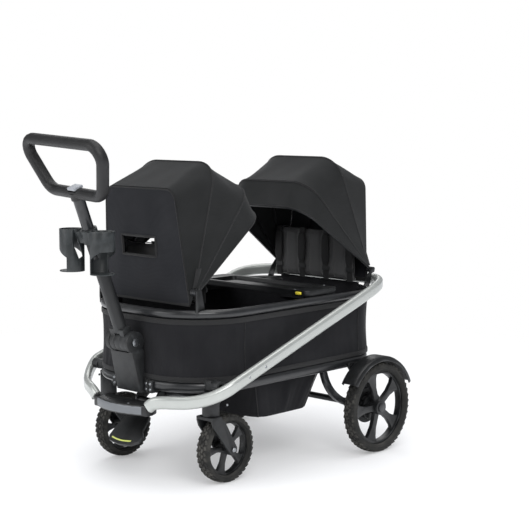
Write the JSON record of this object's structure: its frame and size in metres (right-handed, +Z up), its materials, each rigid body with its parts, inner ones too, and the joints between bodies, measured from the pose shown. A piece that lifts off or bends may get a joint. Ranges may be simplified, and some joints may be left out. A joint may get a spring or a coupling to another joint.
{
  "type": "stroller wagon",
  "caption": "Folding stroller wagon with a fabric tub, two facing seats, two bow canopies, swivelling front wheels and a pull handle with cup holders",
  "frame": {"origin": "ground point midway along and across the wagon's box, unfolded, handle leaning forward", "axes": "+X to the rear (large wheels), +Y to the wagon's left seen facing the front, mirrored halves either side, +Z up"},
  "size_m": [1.2608, 0.738, 1.0862],
  "materials": {
    "frame_black": "black powder coat, semi gloss",
    "frame_silver": "pale silver paint, satin",
    "bracket_grey": "dark grey moulded nylon and painted tube, satin",
    "pin_steel": "plain turned steel",
    "hoop_rod": "drawn rod, mostly inside the fabric",
    "plastic_black": "black moulded plastic, low sheen",
    "cup_plastic": "blue-grey moulded plastic, satin",
    "tyre_rubber": "dark rubber with a shallow block tread",
    "tub_fabric": "black coated polyester, taut",
    "canopy_fabric": "charcoal polyester with piped seams",
    "panel_fabric": "bluish charcoal polyester with black binding",
    "seat_fabric": "grey padded fabric",
    "webbing": "black webbing and padded sleeves",
    "button_yellow": "yellow moulded plastic",
    "button_grey": "mid grey plastic",
    "grip_rubber": "black soft-touch moulding, satin"
  },
  "bodies": {
    "chassis": {"lower_frame": "frame_black", "floor_panel": "tub_fabric", "cross_tubes": "frame_black", "front_post": "bracket_grey", "post_clamps": "bracket_grey", "knuckle_pin": "pin_steel", "caster_housings": "bracket_grey", "rear_axle": "frame_black", "axle_struts": "frame_black", "brake_housings": "bracket_grey", "fenders": "plastic_black", "basket": "tub_fabric", "tray_wall": "tub_fabric", "fold_brackets": "bracket_grey", "pedal_bracket": "bracket_grey", "seat_cushions": "tub_fabric"},
    "caster_left": {"caster_fork_left": "bracket_grey"},
    "caster_right": {"caster_fork_right": "bracket_grey"},
    "front_wheel_left": {"front_tyre_left": "tyre_rubber", "front_rim_left": "plastic_black"},
    "front_wheel_right": {"front_tyre_right": "tyre_rubber", "front_rim_right": "plastic_black"},
    "rear_wheel_left": {"rear_tyre_left": "tyre_rubber", "rear_rim_left": "plastic_black"},
    "rear_wheel_right": {"rear_tyre_right": "tyre_rubber", "rear_rim_right": "plastic_black"},
    "brake_pedal": {"brake_pedal": "plastic_black"},
    "brake_pawls": {"brake_pawls": "pin_steel"},
    "side_frame": {"side_tubes": "frame_silver", "rear_bend": "frame_silver", "side_hinges": "bracket_grey", "front_bumper": "plastic_black"},
    "top_rim": {"top_rim": "frame_black", "snack_tray": "plastic_black", "canopy_mounts": "plastic_black"},
    "scissor": {"scissor_bars": "frame_black"},
    "tray_button_left": {"tray_button_left": "button_yellow"},
    "tray_button_right": {"tray_button_right": "button_yellow"},
    "rear_seat_back": {"rear_seat_back": "seat_fabric", "rear_harness": "webbing"},
    "front_seat_back": {"front_seat_back": "seat_fabric", "front_harness": "webbing"},
    "handle_hub": {"handle_hub": "bracket_grey"},
    "handle_lower": {"handle_lower_tube": "bracket_grey", "cup_holders": "cup_plastic"},
    "handle_upper": {"handle_upper_tube": "bracket_grey"},
    "grip": {"grip_loop": "grip_rubber"},
    "grip_button": {"grip_button": "button_grey"},
    "front_crest": {"front_canopy_crest": "hoop_rod", "front_canopy_roof": "canopy_fabric", "front_canopy_cover": "canopy_fabric"},
    "front_lead": {"front_canopy_hoop": "hoop_rod"},
    "front_visor": {"front_canopy_visor": "hoop_rod"},
    "front_panel": {"front_canopy_panel": "panel_fabric"},
    "rear_crest": {"rear_canopy_crest": "hoop_rod", "rear_canopy_roof": "canopy_fabric", "rear_canopy_cover": "canopy_fabric"},
    "rear_lead": {"rear_canopy_hoop": "hoop_rod"},
    "rear_visor": {"rear_canopy_visor": "hoop_rod"},
    "rear_panel": {"rear_canopy_panel": "panel_fabric"}
  },
  "joints": [
    {"name": "fold", "type": "hinge", "parent": "chassis", "child": "handle_hub", "pos_m": [-0.3554, 0, 0.442], "axis": [0, 1, 0], "range_deg": [0, 100]},
    {"name": "side_frame_fold", "type": "hinge", "parent": "chassis", "child": "side_frame", "pos_m": [-0.2284, 0, 0.318], "axis": [0, 1, 0], "range_deg": [0, 10]},
    {"name": "rim_drop", "type": "slide", "parent": "chassis", "child": "top_rim", "axis": [0, 0, -1], "range_m": [0, 0.126], "deforming": ["tray_wall"]},
    {"name": "scissor_fold", "type": "hinge", "parent": "top_rim", "child": "scissor", "pos_m": [-0.0984, 0, 0.528], "axis": [0, 1, 0], "range_deg": [-13.8, 0]},
    {"name": "rear_seat_fold", "type": "hinge", "parent": "top_rim", "child": "rear_seat_back", "pos_m": [0.5606, 0, 0.546], "axis": [0, -1, 0], "range_deg": [0, 91]},
    {"name": "front_seat_fold", "type": "hinge", "parent": "top_rim", "child": "front_seat_back", "pos_m": [-0.2014, 0, 0.546], "axis": [0, 1, 0], "range_deg": [0, 91]},
    {"name": "front_crest_fold", "type": "hinge", "parent": "top_rim", "child": "front_crest", "pos_m": [-0.2534, 0, 0.602], "axis": [0, 1, 0], "range_deg": [0, 74.8]},
    {"name": "front_lead_fold", "type": "hinge", "parent": "front_crest", "child": "front_lead", "pos_m": [-0.2534, 0, 0.602], "axis": [0, 1, 0], "range_deg": [-21.8, 0], "deforming": ["front_canopy_cover"]},
    {"name": "front_visor_fold", "type": "hinge", "parent": "front_lead", "child": "front_visor", "pos_m": [-0.2534, 0, 0.602], "axis": [0, 1, 0], "range_deg": [-11.5, 0]},
    {"name": "front_panel_fold", "type": "hinge", "parent": "front_crest", "child": "front_panel", "pos_m": [-0.13705, 0, 0.41961], "axis": [0, 1, 0], "range_deg": [0, 18.2], "deforming": ["front_canopy_roof"]},
    {"name": "rear_crest_fold", "type": "hinge", "parent": "top_rim", "child": "rear_crest", "pos_m": [0.5866, 0, 0.602], "axis": [0, -1, 0], "range_deg": [0, 72]},
    {"name": "rear_lead_fold", "type": "hinge", "parent": "rear_crest", "child": "rear_lead", "pos_m": [0.5866, 0, 0.602], "axis": [0, -1, 0], "range_deg": [-22, 0], "deforming": ["rear_canopy_cover"]},
    {"name": "rear_visor_fold", "type": "hinge", "parent": "rear_lead", "child": "rear_visor", "pos_m": [0.5866, 0, 0.602], "axis": [0, -1, 0], "range_deg": [-11.5, 0]},
    {"name": "rear_panel_fold", "type": "hinge", "parent": "rear_crest", "child": "rear_panel", "pos_m": [0.46486, 0, 0.40048], "axis": [0, -1, 0], "range_deg": [0, 16], "deforming": ["rear_canopy_roof"]},
    {"name": "handle_tilt", "type": "hinge", "parent": "handle_hub", "child": "handle_lower", "pos_m": [-0.3554, 0, 0.442], "axis": [0, 1, 0], "range_deg": [-45, 0]},
    {"name": "handle_telescope", "type": "slide", "parent": "handle_lower", "child": "handle_upper", "axis": [-0.3584, 0, 0.9336], "range_m": [-0.08, 0]},
    {"name": "grip_swivel", "type": "hinge", "parent": "handle_upper", "child": "grip", "pos_m": [-0.52634, 0, 0.88732], "axis": [0.3584, 0, -0.9336], "range_deg": [-14, 0]},
    {"name": "grip_button_press", "type": "slide", "parent": "grip", "child": "grip_button", "axis": [0.3584, 0, -0.9336], "range_m": [0, 0.003], "stiffness_N_per_m": 600, "springref_m": -0.002},
    {"name": "brake_press", "type": "hinge", "parent": "chassis", "child": "brake_pedal", "pos_m": [-0.2594, 0, 0.238], "axis": [0, 1, 0], "range_deg": [-14, 0]},
    {"name": "pawl_slide", "type": "slide", "parent": "chassis", "child": "brake_pawls", "axis": [1, 0, 0], "range_m": [0, 0.006]},
    {"name": "caster_swivel_left", "type": "hinge", "parent": "chassis", "child": "caster_left", "pos_m": [-0.2184, 0.242, 0.245], "axis": [0, 0, 1], "continuous": true},
    {"name": "front_wheel_spin_left", "type": "hinge", "parent": "caster_left", "child": "front_wheel_left", "pos_m": [-0.1564, 0.242, 0.1075], "axis": [0, 1, 0], "continuous": true},
    {"name": "rear_wheel_spin_left", "type": "hinge", "parent": "chassis", "child": "rear_wheel_left", "pos_m": [0.4696, 0.343, 0.1525], "axis": [0, 1, 0], "continuous": true},
    {"name": "tray_button_press_left", "type": "slide", "parent": "top_rim", "child": "tray_button_left", "axis": [1, 0, 0], "range_m": [0, 0.004], "stiffness_N_per_m": 500, "springref_m": -0.002},
    {"name": "caster_swivel_right", "type": "hinge", "parent": "chassis", "child": "caster_right", "pos_m": [-0.2184, -0.242, 0.245], "axis": [0, 0, 1], "continuous": true},
    {"name": "front_wheel_spin_right", "type": "hinge", "parent": "caster_right", "child": "front_wheel_right", "pos_m": [-0.1564, -0.242, 0.1075], "axis": [0, 1, 0], "continuous": true},
    {"name": "rear_wheel_spin_right", "type": "hinge", "parent": "chassis", "child": "rear_wheel_right", "pos_m": [0.4696, -0.343, 0.1525], "axis": [0, 1, 0], "continuous": true},
    {"name": "tray_button_press_right", "type": "slide", "parent": "top_rim", "child": "tray_button_right", "axis": [1, 0, 0], "range_m": [0, 0.004], "stiffness_N_per_m": 500, "springref_m": -0.002}
  ],
  "couplings": [
    {"joint": "side_frame_fold", "follows": "rim_drop", "rad_per_m": 1.3852},
    {"joint": "fold", "follows": "rim_drop", "rad_per_m": 13.852},
    {"joint": "scissor_fold", "follows": "rim_drop", "rad_per_m": -1.9115},
    {"joint": "rear_seat_fold", "follows": "rim_drop", "rad_per_m": 12.605},
    {"joint": "front_seat_fold", "follows": "rim_drop", "rad_per_m": 12.605},
    {"joint": "front_crest_fold", "follows": "rim_drop", "rad_per_m": 10.361},
    {"joint": "front_lead_fold", "follows": "rim_drop", "rad_per_m": -3.0197},
    {"joint": "front_visor_fold", "follows": "rim_drop", "rad_per_m": -1.593},
    {"joint": "front_panel_fold", "follows": "rim_drop", "rad_per_m": 2.521},
    {"joint": "rear_crest_fold", "follows": "rim_drop", "rad_per_m": 9.9733},
    {"joint": "rear_lead_fold", "follows": "rim_drop", "rad_per_m": -3.0474},
    {"joint": "rear_visor_fold", "follows": "rim_drop", "rad_per_m": -1.593},
    {"joint": "rear_panel_fold", "follows": "rim_drop", "rad_per_m": 2.2163},
    {"joint": "pawl_slide", "follows": "brake_press", "m_per_rad": -0.024555}
  ]
}
